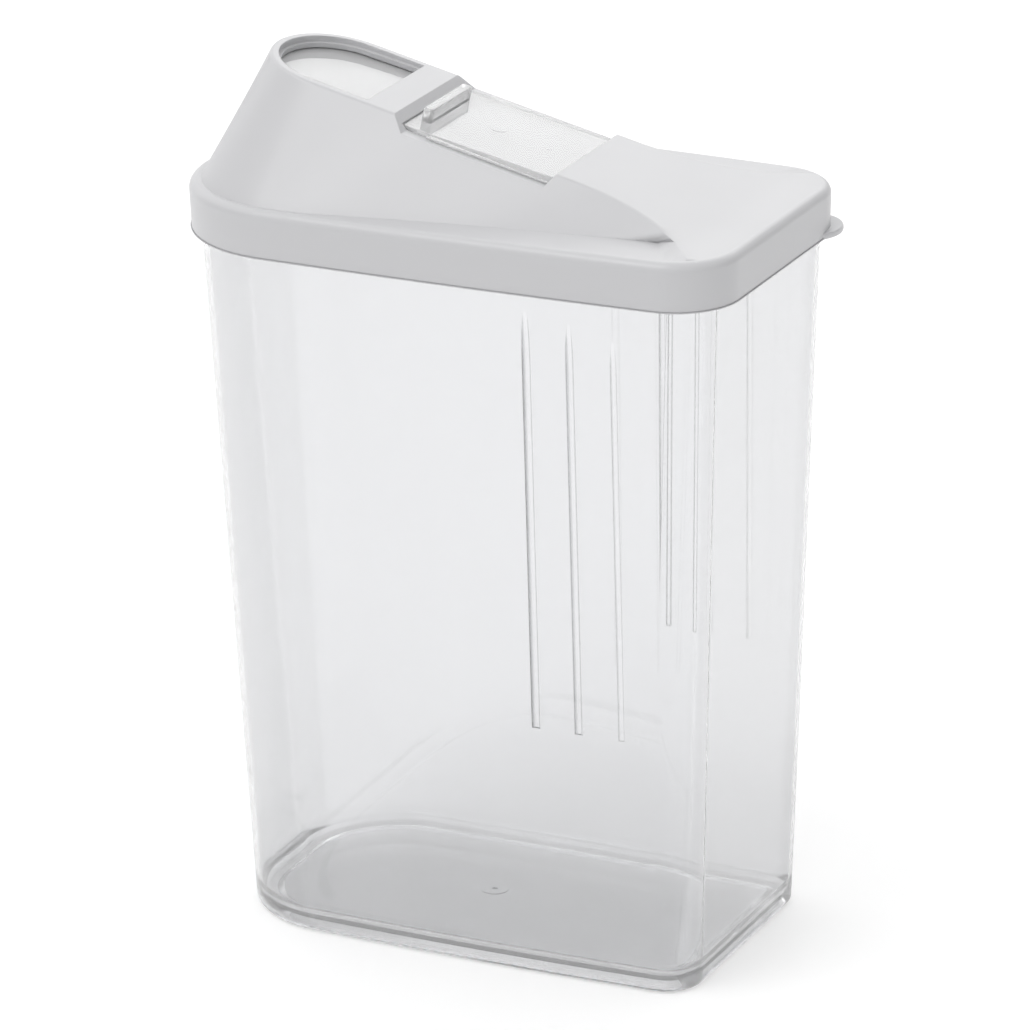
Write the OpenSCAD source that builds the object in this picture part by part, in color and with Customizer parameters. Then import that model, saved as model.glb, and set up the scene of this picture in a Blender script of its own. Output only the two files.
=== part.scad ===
// Clear upright dry-food container with a press-on pour lid.
// The lid has a raised spout hump, closed by a clear shutter that slides under a hood.
// Millimetres, +Z up. The origin is the middle of the base, on the surface it stands on.
// The spout end points along -X and the grip end along +X.

/* [Container] */
// Length over the rim flange at the mouth
mouth_len = 185.8; // [180:0.2:192]
// Width over the rim flange, measured at its corners
mouth_wid = 98.8; // [94:0.2:104]
// How far each long side bows outwards at its middle
mouth_bow = 1.9; // [0.4:0.1:2.6]
// Corner radius of the rim flange at the spout end
mouth_front_r = 38; // [34:0.5:42]
// Corner radius of the rim flange at the grip end
mouth_back_r = 17.5; // [14:0.5:22]
// Height of the container to the top of its mouth
body_h = 236.8; // [200:0.2:260]
// Depth of the flange round the mouth
flange_h = 3; // [2:0.2:5]
// How far the flange stands out from the wall at the two ends
flange_end = 2.2; // [1.2:0.1:3]
// How far the flange stands out from the wall along the sides
flange_side = 1; // [0.6:0.1:1.6]
// Thickness of the side wall
wall_t = 1.8; // [1.5:0.1:2.4]
// How much shorter the base is than the mouth, from the draft
draft_len = 19; // [10:0.5:24]
// How much narrower the base is than the mouth, from the draft
draft_wid = 8.4; // [4:0.2:12]
// Corner radius of the wall at the spout end
wall_front_r = 33.5; // [28:0.5:38]
// Corner radius of the wall at the grip end
wall_back_r = 11.8; // [9:0.2:16]
// Thickness of the floor
floor_t = 2.4; // [1.8:0.1:3.2]
// Height of the hollow under the floor
foot_h = 2.2; // [1:0.1:3]
// Width of the foot that the container stands on
foot_w = 4; // [3:0.5:7]
// Radius of the rounded bottom edge
foot_r = 2.6; // [1.5:0.1:3.2]
// Radius inside, between wall and floor
floor_r = 5; // [3:0.5:8]

/* [Grip grooves] */
// Number of upright grooves on each long side
groove_n = 3; // [2:1:5]
// Distance from one groove to the next
groove_pitch = 14.2; // [10:0.2:16]
// Place of the middle groove along the length
groove_x = 47; // [38:1:52]
// Width of a groove at the surface
groove_w = 2.6; // [2:0.1:3.2]
// Depth of a groove
groove_d = 0.8; // [0.4:0.1:1]
// Height of the lower end of the grooves
groove_low = 83; // [60:1:110]
// Distance from the mouth down to where the grooves fade out
groove_top = 21; // [18:1:50]
// Length over which a groove runs out at its top
groove_fade = 16; // [8:1:24]

/* [Lid] */
// Gap between the lid's skirt and the rim flange
lid_fit = 0.3; // [0.2:0.05:0.5]
// Thickness of the lid's skirt
skirt_t = 1.8; // [1.4:0.1:2.4]
// Height of the skirt from its lower edge to the deck
skirt_h = 15.4; // [12:0.2:22]
// Thickness of the deck
deck_t = 1.9; // [1.6:0.1:2.6]
// Radius of the deck's rounded edge
deck_r = 3; // [2:0.1:4]
// Radius of the skirt's rounded lower edge
hem_r = 0.4; // [0.2:0.1:0.6]
// Gap between the deck and the mouth it rests on
seat_gap = 0.2; // [0.1:0.05:0.4]
// Depth of the plug wall that enters the mouth
plug_h = 8; // [5:0.5:12]
// Thickness of the plug wall
plug_t = 1.5; // [1.2:0.1:2]
// Gap between the plug wall and the container
plug_fit = 0.7; // [0.5:0.05:1]
// How far the seal bead stands out from the plug wall
bead_out = 0.4; // [0.2:0.05:0.45]
// Radius of the lift tab's rounded edge
tab_r = 12; // [9:0.5:14]
// How far the lift tab stands out from the corner
tab_out = 3.6; // [2.5:0.1:5]
// Thickness of the lift tab
tab_t = 2; // [1.5:0.1:3]
// Direction of the lift tab from the long axis
tab_turn = 28; // [20:1:60]

/* [Spout hump] */
// Slope of the hump's flat top, falling to the grip end
top_tilt = 13.2; // [12:0.1:14]
// Height of that top above the deck, at the middle of the lid
top_rise = 20.2; // [19:0.1:22]
// Outer radius of the round spout rim, also half the width of the hump's top
spout_r = 21.8; // [20:0.1:24]
// Distance from the lid's spout end to the tip of the rim
spout_back = 21.2; // [18:0.2:26]
// Width of the rim's top face
rim_w = 2.6; // [2:0.1:3.2]
// Width of the bead inside the rim, just over the shutter
bead_w = 1.1; // [0.6:0.1:1.6]
// Height of that bead over the shutter
bead_h = 1.9; // [1:0.1:2]
// Length of the spout opening from its round tip to the bridge
mouth_open = 38.6; // [34:0.2:42]
// Length of the bridge across the top
bridge_len = 10.5; // [8:0.1:13]
// Length of the shutter's open bay from the bridge to the hood
bay_len = 55.4; // [50:0.2:58]
// Depth of the side ledges in the bay under the hump's top
ledge_deep = 3.9; // [3.6:0.1:4.4]
// Sloping length of the bridge's rear face, down to the ledges
bridge_slope = 5; // [3:0.1:7]
// Sloping length of the hood's front face, down to the ledges
hood_slope = 1.8; // [1:0.1:4]
// Thickness of the hump's flanks, measured level
flank_t = 2.4; // [2:0.1:3]
// Thickness of the hood over the shutter
hood_t = 1.35; // [1.2:0.05:1.5]
// Place along the top where its edges begin to flare out
flare_start = 37; // [32:1:42]
// Radius of that flare
flare_r = 60; // [50:1:75]
// Width of the seat that the shutter slides on
seat_w = 3.4; // [2.4:0.1:4]
// Thickness of the seat and of the channel wall
seat_t = 1.6; // [1.2:0.1:2]
// Depth of the pouring throat below the seat, at its tip
throat_deep = 4.6; // [2:0.1:7]

/* [Shutter] */
// Gap between the shutter and its channel, all round
slide_fit = 0.3; // [0.2:0.05:0.4]
// Travel of the shutter from closed to open
travel = 42; // [36:0.5:44]
// Depth of the shutter's top under the hump's top, at the middle of the lid
plate_deep = 2.36; // [2.2:0.02:2.5]
// How much less the plate slopes than the way it slides
plate_wedge = 1.2; // [0.8:0.1:1.4]
// Thickness of the clear plate
plate_t = 1.7; // [1.4:0.1:1.9]
// Length of the plate under the hood when closed
tail_len = 4; // [3:0.5:6]
// Width of a runner under the plate's edge
runner_w = 1.6; // [1.2:0.1:2]
// How far the side flange stands out from the plate
flange_out = 1.9; // [1.2:0.1:2.2]
// Thickness of the side flange
flange_t = 0.8; // [0.6:0.05:1]
// Width of the thumb ridge across the shutter
ridge_w = 27.6; // [20:0.2:34]
// Thickness of the thumb ridge
ridge_t = 3.6; // [2.6:0.1:4.5]
// Height of the thumb ridge above the hump's top
ridge_up = 1.7; // [1:0.1:3]
// Gap from the bridge's rear face to the ridge, on the plate
ridge_gap = 2; // [1:0.1:3]

/* [Hidden] */

$fn = 64;
// Segments in a quarter corner and points along a long side
corner_n = 14;
side_n = 9;
// Segments round the front of the hump and along its sides
front_n = 24;
flank_n = 36;
eps = 0.01;

// Half sizes of the mouth's flange, and of the lid built round it
mouth_a = mouth_len / 2;
mouth_b = mouth_wid / 2;
skin = lid_fit + skirt_t;
lid_a = mouth_a + skin;
lid_b = mouth_b + skin;
lid_front_r = mouth_front_r + skin;
lid_back_r = mouth_back_r + skin;

// Levels of the lid
roof_z = body_h + seat_gap;
deck_z = roof_z + deck_t;
skirt_z = deck_z - skirt_h;

// Frame of the hump's sloping top: u runs down the slope, w stands off it
top_z = deck_z + top_rise;
tip_u = (-lid_a + spout_back) / cos(top_tilt);
spout_u = tip_u + spout_r;
open_u = tip_u + rim_w + mouth_open;
bridge_u = open_u + bridge_len;
hood_u = bridge_u + bay_len;

// Shutter and its channel, as depths under the hump's top
plate_r = spout_r - 0.8;
plate_tip_u = spout_u - plate_r;
tail_u = hood_u + tail_len;
function plate_top(u) = -plate_deep + u * tan(plate_wedge);
plate_low = plate_top(plate_tip_u) - plate_t;
seat_deep = -plate_low + slide_fit + 0.1;
channel_r = plate_r + slide_fit;
seat_r = channel_r - seat_w;
seat_under = seat_deep + seat_t;
flange_low = ledge_deep - 0.15;
flange_u = hood_u - travel - 1.2;
way_end_u = tail_u + travel + 1.2;

// Quarter arc about c from angle a0 to a1
function arc(c, r, a0, a1, n) =
    [for (i = [0:n]) let (a = a0 + (a1 - a0) * i / n) c + r * [cos(a), sin(a)]];

// Moves a point of a plan outwards with the bow of the long sides
function bowed(p, a, b, bow) = [p[0], p[1] * (1 + bow / b * (1 - pow(p[0] / a, 2)))];

// Rounded plan with bowed sides, anticlockwise from the grip end
function plan(a, b, front_r, back_r, bow) =
    let (
        back = arc([a - back_r, b - back_r], back_r, 0, 90, corner_n),
        front = arc([front_r - a, b - front_r], front_r, 90, 180, corner_n),
        reach = 2 * a - back_r - front_r,
        side = [for (i = [1:side_n]) [a - back_r - reach * i / (side_n + 1), b]],
        half = [for (p = concat(back, side, front)) bowed(p, a, b, bow)],
        last = len(half) - 1
    )
    concat(half, [for (i = [0:last]) [half[last - i][0], -half[last - i][1]]]);

// Plan of the lid's outside, inset evenly
function lid_plan(inset) =
    plan(lid_a - inset, lid_b - inset, lid_front_r - inset, lid_back_r - inset, mouth_bow);

// Plan of the container's wall at height z, inset evenly
function wall_plan(z, inset) =
    let (
        fall = (1 - z / body_h) / 2,
        a = mouth_a - flange_end - draft_len * fall - inset,
        b = mouth_b - flange_side - draft_wid * fall - inset
    )
    plan(a, b, max(wall_front_r - inset, 2), max(wall_back_r - inset, 2), mouth_bow);

function at_z(points, z) = [for (p = points) [p[0], p[1], z]];

// Solid skinned over closed rings of equal count, each ring anticlockwise from above
// and the same on both sides of the long axis. With fold = 1 a ring starts on that axis.
module skin_over(rings, fold = 0) {
    n = len(rings[0]);
    m = len(rings);
    sides = [
        for (k = [0:m - 2], i = [0:n - 1])
            let (j = (i + 1) % n, low = k * n, high = low + n)
                each i < (n - 1) / 2
                    ? [[low + i, high + i, high + j], [low + i, high + j, low + j]]
                    : [[low + i, high + i, low + j], [high + i, high + j, low + j]]
    ];
    rungs = [
        for (i = [fold:ceil(n / 2) - 2])
            let (a = n - 1 - i + fold)
                each [[i, i + 1, a - 1], [i, a - 1, a]]
    ];
    bottom = fold == 1 ? concat([[0, 1, n - 1]], rungs) : rungs;
    top = [for (f = bottom) [for (k = [2:-1:0]) f[k] + (m - 1) * n]];
    polyhedron([for (r = rings) each r], concat(bottom, sides, top));
}

// Quarter-round steps as [across, up] shares of a radius
function round_steps(n) = [for (i = [0:n]) [1 - sin(90 * i / n), 1 - cos(90 * i / n)]];

// One skin that runs up the outside, over the flange and down the inside
module container_shell() {
    wall_top = body_h - flange_h;
    chamfer = 0.5;
    floor_z = foot_h + floor_t;
    under = [
        at_z(wall_plan(0, foot_r + foot_w + foot_h), foot_h),
        at_z(wall_plan(0, foot_r + foot_w), 0)
    ];
    edge = [for (s = round_steps(4)) at_z(wall_plan(0, foot_r * s[0]), foot_r * s[1])];
    flange = [
        at_z(wall_plan(wall_top, 0), wall_top),
        at_z(plan(mouth_a, mouth_b, mouth_front_r, mouth_back_r, mouth_bow), wall_top),
        at_z(plan(mouth_a, mouth_b, mouth_front_r, mouth_back_r, mouth_bow), body_h - chamfer),
        at_z(plan(mouth_a - chamfer, mouth_b - chamfer, mouth_front_r - chamfer,
            mouth_back_r - chamfer, mouth_bow), body_h),
        at_z(wall_plan(body_h, wall_t), body_h)
    ];
    inside = [
        for (i = [4:-1:0])
            let (s = round_steps(4)[i], z = floor_z + floor_r * s[1])
                at_z(wall_plan(z, wall_t + floor_r * s[0]), z)
    ];
    skin_over(concat(under, edge, flange, inside));
}

// Cutters for the grip grooves of one side: a long groove and its run-out
module groove_cutters() {
    cut_r = (pow(groove_w / 2, 2) + pow(groove_d, 2)) / (2 * groove_d);
    lean = atan(draft_wid / 2 / body_h);
    fade_z = body_h - groove_top - groove_fade;
    run = atan(groove_d * 1.4 / groove_fade);
    for (i = [0:groove_n - 1]) {
        x = groove_x + (i - (groove_n - 1) / 2) * groove_pitch;
        wall = wall_plan(groove_low, 0);
        a = mouth_a - flange_end - draft_len * (1 - groove_low / body_h) / 2;
        b = mouth_b - flange_side - draft_wid * (1 - groove_low / body_h) / 2;
        y = b * (1 + mouth_bow / b * (1 - pow(x / a, 2)));
        translate([x, y + cut_r - groove_d, groove_low])
            rotate([-lean, 0, 0]) {
                long = (fade_z - groove_low) / cos(lean);
                cylinder(h = long, r = cut_r, $fn = 32);
                translate([0, 0, long])
                    rotate([-run, 0, 0])
                        cylinder(h = groove_fade * 1.3, r = cut_r, $fn = 32);
            }
    }
}

module container() {
    color([0.93, 0.94, 0.95, 0.4])
        difference() {
            container_shell();
            groove_cutters();
            mirror([0, 1, 0]) groove_cutters();
        }
}

// Places children in the frame of the hump's sloping top
module on_slope() {
    translate([0, 0, top_z]) rotate([0, top_tilt, 0]) children();
}

// Point of the sloping frame in the part's own frame
function slope_point(u, y, w) =
    [u * cos(top_tilt) + w * sin(top_tilt), y, top_z - u * sin(top_tilt) + w * cos(top_tilt)];

// Depth of a point under the hump's top
function depth_of(p) = p[0] * sin(top_tilt) + (p[2] - top_z) * cos(top_tilt);

// Half width of the hump's top at x, flaring along an arc to the grip end
function top_half(x) =
    spout_r + (x < flare_start ? 0 : flare_r - sqrt(pow(flare_r, 2) - pow(x - flare_start, 2)));

// Half width at x of the deck's flat that the hump may stand on
foot_in = deck_r + 0.3;
function deck_half(x) =
    let (a = lid_a - foot_in, b = lid_b - foot_in, r = lid_back_r - foot_in, past = x - (a - r))
        (b - r + (past > 0 ? sqrt(max(pow(r, 2) - pow(past, 2), 0)) : r))
        * (1 + mouth_bow / b * (1 - pow(x / a, 2)));

// Half width of the hump's foot on the deck at x: it leaves the deck's edge and narrows
foot_x0 = -lid_a + 52;
foot_x1 = 72;
function foot_half(x) =
    let (
        s = min(max((x - foot_x0) / (foot_x1 - foot_x0), 0), 1),
        narrow = deck_half(foot_x0) * pow(1 - s, 3) + 3 * 41.5 * s * pow(1 - s, 2)
            + 3 * 37 * pow(s, 2) * (1 - s) + top_half(foot_x1) * pow(s, 3)
    )
        x < foot_x0 ? deck_half(x) : max(narrow, top_half(x) + 0.3)
            + (x > foot_x1 ? 10 * (1 - exp((foot_x1 - x) / 2)) : 0);

// Stations round one half of the hump: [top point, foot point, outward direction]
function front_station(t) =
    let (
        turn = 180 - 90 * t,
        top = slope_point(spout_u + spout_r * cos(turn), spout_r * sin(turn), 0),
        a = lid_a - foot_in,
        b = lid_b - foot_in,
        r = lid_front_r - foot_in,
        flat = 0.2,
        round_turn = 180 - 90 * (t - flat) / (1 - flat),
        foot = t < flat
            ? [-a - 0.2 * (1 - pow(t / flat, 2)), (b - r) * t / flat]
            : [r - a, b - r] + r * [cos(round_turn), sin(round_turn)],
        out = bowed(foot, a, b, mouth_bow)
    )
    [top, [out[0], out[1], deck_z], [cos(turn), sin(turn)]];

// Place where the deck's round front ends and its sides begin
round_x = lid_front_r - lid_a;

function side_station(s) =
    let (
        u0 = spout_u,
        u1 = (top_rise - 0.05) / sin(top_tilt),
        u = u0 + (u1 - u0) * s,
        x = u * cos(top_tilt),
        foot_x = round_x * (1 - s) + (x + 0.8) * s,
        edge = deck_half(foot_x)
    )
    [
        slope_point(u, min(top_half(x), edge - 0.4), 0),
        [foot_x, min(foot_half(foot_x), edge - 0.2), deck_z],
        [0, 1]
    ];

stations = concat(
    [for (i = [0:front_n]) front_station(i / front_n)],
    [for (i = [1:flank_n]) side_station(i / flank_n)]
);

// Closed ring from one half's points, anticlockwise from above
function mirror_ring(half) =
    concat(
        [for (p = half) [p[0], -p[1], p[2]]],
        [for (i = [len(half) - 1:-1:1]) half[i]]
    );

// Outside of the hump, rooted in the deck
module hump_outside() {
    skin_over([
        mirror_ring([for (s = stations) [s[1][0], s[1][1], deck_z - deck_t / 2]]),
        mirror_ring([for (s = stations) s[1]]),
        mirror_ring([for (s = stations) s[0]])
    ], 1);
}

// Inside of the hump below the depth w, with an even flank
module hump_inside(w) {
    used = [for (s = stations) if (depth_of(s[1]) < w - 2.6) s];
    tops = [
        for (s = used)
            let (f = w / depth_of(s[1]), p = s[0] + (s[1] - s[0]) * f)
                [p[0] - flank_t * s[2][0], max(p[1] - flank_t * s[2][1], 0), p[2]]
    ];
    feet = [
        for (s = used)
            [s[1][0] - flank_t * s[2][0], max(s[1][1] - flank_t * s[2][1], 0), s[1][2]]
    ];
    skin_over([
        mirror_ring([for (p = feet) [p[0], p[1], roof_z - 1]]),
        mirror_ring(feet),
        mirror_ring([for (p = tops) slope_point((p[0] - w * sin(top_tilt)) / cos(top_tilt), p[1], w)])
    ], 1);
}

// Plan of the shutter's channel in the sloping frame: round front, straight sides
module round_front(r, end_u) {
    polygon(concat([[end_u, -r], [end_u, r]], arc([spout_u, 0], r, 90, 270, 22)));
}

// Slab in the sloping frame between the depths low and high
module slab(low, high) {
    translate([0, 0, low]) linear_extrude(high - low) children();
}

// Prism across the lid from an outline in u and w
module across(half, outline) {
    rotate([90, 0, 0]) translate([0, 0, -half]) linear_extrude(2 * half) polygon(outline);
}

// Space that the shutter fills and slides through
module shutter_way() {
    rest_u = bridge_u + bridge_slope;
    intersection() {
        slab(-seat_deep, spout_r) round_front(channel_r, way_end_u);
        across(2 * spout_r, [
            [tip_u - 10, -seat_deep - 1],
            [way_end_u + 1, -seat_deep - 1],
            [way_end_u + 1, -hood_t],
            [rest_u, -hood_t],
            [rest_u, plate_top(rest_u) + slide_fit],
            [tip_u - 10, plate_top(tip_u - 10) + slide_fit]
        ]);
    }
    across(channel_r - 0.5, [
        [hood_u + seat_t / 2, -seat_deep - 6],
        [way_end_u - 0.5, -seat_deep - 6],
        [way_end_u - 0.5, -hood_t - 0.5],
        [hood_u + seat_t / 2, -hood_t - 0.5]
    ]);
    across(plate_r + flange_out + slide_fit, [
        [hood_u - hood_slope - 1, -ledge_deep],
        [way_end_u, -ledge_deep],
        [way_end_u, -ledge_deep + flange_t + 2 * slide_fit],
        [hood_u - hood_slope - 1, -ledge_deep + flange_t + 2 * slide_fit]
    ]);
}

// Open bay in the hump's top between the bridge and the hood
module bay() {
    across(lid_b + 5, [
        [bridge_u - bridge_slope / ledge_deep, 1],
        [bridge_u + bridge_slope, -ledge_deep],
        [hood_u - hood_slope, -ledge_deep],
        [hood_u + hood_slope / ledge_deep, 1]
    ]);
}

// Hollow under the hump, which leaves the ledges and the shutter's channel standing
module hump_hollow() {
    difference() {
        hump_inside(-hood_t - slide_fit);
        on_slope() {
            across(2 * lid_b, [
                [-2 * lid_a, -ledge_deep - seat_t],
                [hood_u + seat_t, -ledge_deep - seat_t],
                [hood_u + seat_t, spout_r],
                [-2 * lid_a, spout_r]
            ]);
            slab(-seat_under, spout_r / 2) round_front(channel_r + seat_t, hood_u + seat_t);
        }
    }
}

// Outside of the cap, with its rounded edges
module cap_outside() {
    hem = [at_z(lid_plan(hem_r), skirt_z), at_z(lid_plan(0), skirt_z + hem_r)];
    edge = [
        for (i = [0:4])
            let (s = round_steps(4)[i])
                at_z(lid_plan(deck_r * s[1]), deck_z - deck_r * s[0])
    ];
    skin_over(concat(hem, edge));
}

// Plug wall inside the mouth, with its seal bead
module plug() {
    gap = wall_t + plug_fit;
    low = roof_z - plug_h;
    translate([0, 0, low])
        linear_extrude(plug_h + deck_t / 2)
            difference() {
                polygon(wall_plan(low, gap));
                polygon(wall_plan(low, gap + plug_t));
            }
    translate([0, 0, low + plug_h / 2])
        linear_extrude(2 * bead_out)
            difference() {
                polygon(wall_plan(low, gap - bead_out));
                polygon(wall_plan(low, gap + plug_t / 2));
            }
}

// Opening of the spout over the shutter, narrower at the bead
module spout_opening() {
    wide = spout_r - rim_w;
    slab(-seat_deep, 1) round_front(wide - bead_w, open_u - bead_w);
    intersection() {
        slab(-seat_deep, 1) round_front(wide, open_u);
        across(2 * spout_r, [
            [tip_u - 5, plate_top(tip_u - 5) + bead_h],
            [open_u + 5, plate_top(open_u + 5) + bead_h],
            [open_u + 5, 5],
            [tip_u - 5, 5]
        ]);
    }
}

// Throat that leads the pour up to the opening, cut off lower at the tip
module throat() {
    difference() {
        slab(-seat_under - throat_deep, -seat_deep - seat_t / 2)
            round_front(seat_r + seat_t, open_u);
        across(2 * spout_r, [
            [tip_u - 5, -seat_under - throat_deep - 3],
            [open_u + 5, -seat_under - throat_deep - 3],
            [open_u + 5, -seat_under],
            [open_u, -seat_under],
            [tip_u, -seat_under - throat_deep],
            [tip_u - 5, -seat_under - throat_deep]
        ]);
    }
}

// Tab at the skirt's lower edge to lift the lid by
module lift_tab() {
    reach = lid_back_r + tab_out - tab_r;
    corner = [lid_a - lid_back_r, lid_b - lid_back_r + mouth_bow / 4];
    translate([corner[0] + reach * cos(tab_turn), corner[1] + reach * sin(tab_turn), skirt_z])
        cylinder(h = tab_t, r = tab_r);
}

module lid() {
    color([0.80, 0.80, 0.81])
        difference() {
            union() {
                difference() {
                    union() {
                        cap_outside();
                        hump_outside();
                        lift_tab();
                    }
                    translate([0, 0, skirt_z - 1])
                        linear_extrude(roof_z - skirt_z + 1)
                            polygon(lid_plan(skirt_t));
                    hump_hollow();
                }
                plug();
                on_slope() throat();
            }
            on_slope() {
                shutter_way();
                bay();
                slab(-seat_under - throat_deep - 1, -seat_deep + 1) round_front(seat_r, hood_u + 2);
                spout_opening();
            }
        }
}

// Thumb ridge with rounded corners and a softened top edge
module ridge() {
    r = 1;
    front_u = bridge_u + bridge_slope * 0.7 + ridge_gap;
    low = plate_top(front_u) - 0.6;
    translate([front_u, -ridge_w / 2, low]) {
        hull() {
            for (u = [r, ridge_t - r], y = [r, ridge_w - r])
                translate([u, y, 0]) {
                    cylinder(h = ridge_up - low - 0.5, r = r, $fn = 24);
                    cylinder(h = ridge_up - low, r = r - 0.5, $fn = 24);
                }
        }
    }
}

module shutter() {
    color([0.95, 0.96, 0.97, 0.4])
        on_slope() {
            translate([0, 0, -plate_deep])
                rotate([0, -plate_wedge, 0])
                    slab(-plate_t, 0) round_front(plate_r, tail_u);
            for (side = [-1, 1]) {
                runner_u = spout_u + plate_r * 0.4;
                mirror([0, side < 0 ? 1 : 0, 0]) {
                    translate([0, plate_r, 0])
                        rotate([90, 0, 0])
                            linear_extrude(runner_w)
                                polygon([
                                    [runner_u, -seat_deep + 0.15],
                                    [tail_u, -seat_deep + 0.15],
                                    [tail_u, plate_top(tail_u) - plate_t / 2],
                                    [runner_u, plate_top(runner_u) - plate_t / 2]
                                ]);
                    translate([flange_u, plate_r - runner_w, -flange_low])
                        cube([tail_u - flange_u, runner_w + flange_out, flange_t]);
                }
            }
            ridge();
        }
}

container();
lid();
shutter();
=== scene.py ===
"""Clear cereal container with a grey pour lid and a sliding clear shutter, round its CAD frame.

Lengths are millimetres until a mesh is made. The sloping top of the lid's hump has a frame of its
own: u runs down the slope towards the grip end and w stands off the slope.
"""

import logging
import math
from dataclasses import dataclass
from enum import Enum
from typing import Callable, Sequence

import bmesh
import bpy
from mathutils import Matrix, Vector


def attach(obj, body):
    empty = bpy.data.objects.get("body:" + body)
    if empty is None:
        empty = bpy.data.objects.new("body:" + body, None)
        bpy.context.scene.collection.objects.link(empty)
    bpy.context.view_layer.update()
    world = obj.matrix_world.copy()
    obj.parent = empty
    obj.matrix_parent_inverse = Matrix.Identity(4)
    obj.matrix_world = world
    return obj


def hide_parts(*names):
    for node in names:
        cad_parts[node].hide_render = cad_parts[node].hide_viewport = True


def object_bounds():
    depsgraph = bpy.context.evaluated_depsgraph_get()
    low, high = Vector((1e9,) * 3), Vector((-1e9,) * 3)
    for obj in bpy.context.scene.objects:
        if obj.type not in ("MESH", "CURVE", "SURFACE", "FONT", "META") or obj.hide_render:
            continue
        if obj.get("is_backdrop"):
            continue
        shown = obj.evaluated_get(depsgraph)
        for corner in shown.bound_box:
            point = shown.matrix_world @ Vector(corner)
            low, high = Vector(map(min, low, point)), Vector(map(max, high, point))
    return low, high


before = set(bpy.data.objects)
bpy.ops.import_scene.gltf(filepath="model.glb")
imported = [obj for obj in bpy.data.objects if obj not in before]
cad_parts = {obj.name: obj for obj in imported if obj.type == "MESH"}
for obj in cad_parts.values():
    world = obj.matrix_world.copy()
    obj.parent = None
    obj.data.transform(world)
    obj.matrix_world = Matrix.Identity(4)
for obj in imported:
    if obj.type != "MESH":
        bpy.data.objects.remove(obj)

logging.basicConfig(level=logging.INFO, format="%(message)s")
LOG = logging.getLogger("container")
MM = 0.001

Point2 = tuple[float, float]
Point3 = tuple[float, float, float]
Ring = list[Point3]


class Body(str, Enum):
    """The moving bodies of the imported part."""

    CONTAINER = "container"
    LID = "lid"
    SHUTTER = "shutter"


class Slot(str, Enum):
    """The record's material slots."""

    CLEAR_BODY = "clear_body"
    GREY_LID = "grey_lid"
    CLEAR_SHUTTER = "clear_shutter"


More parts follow.
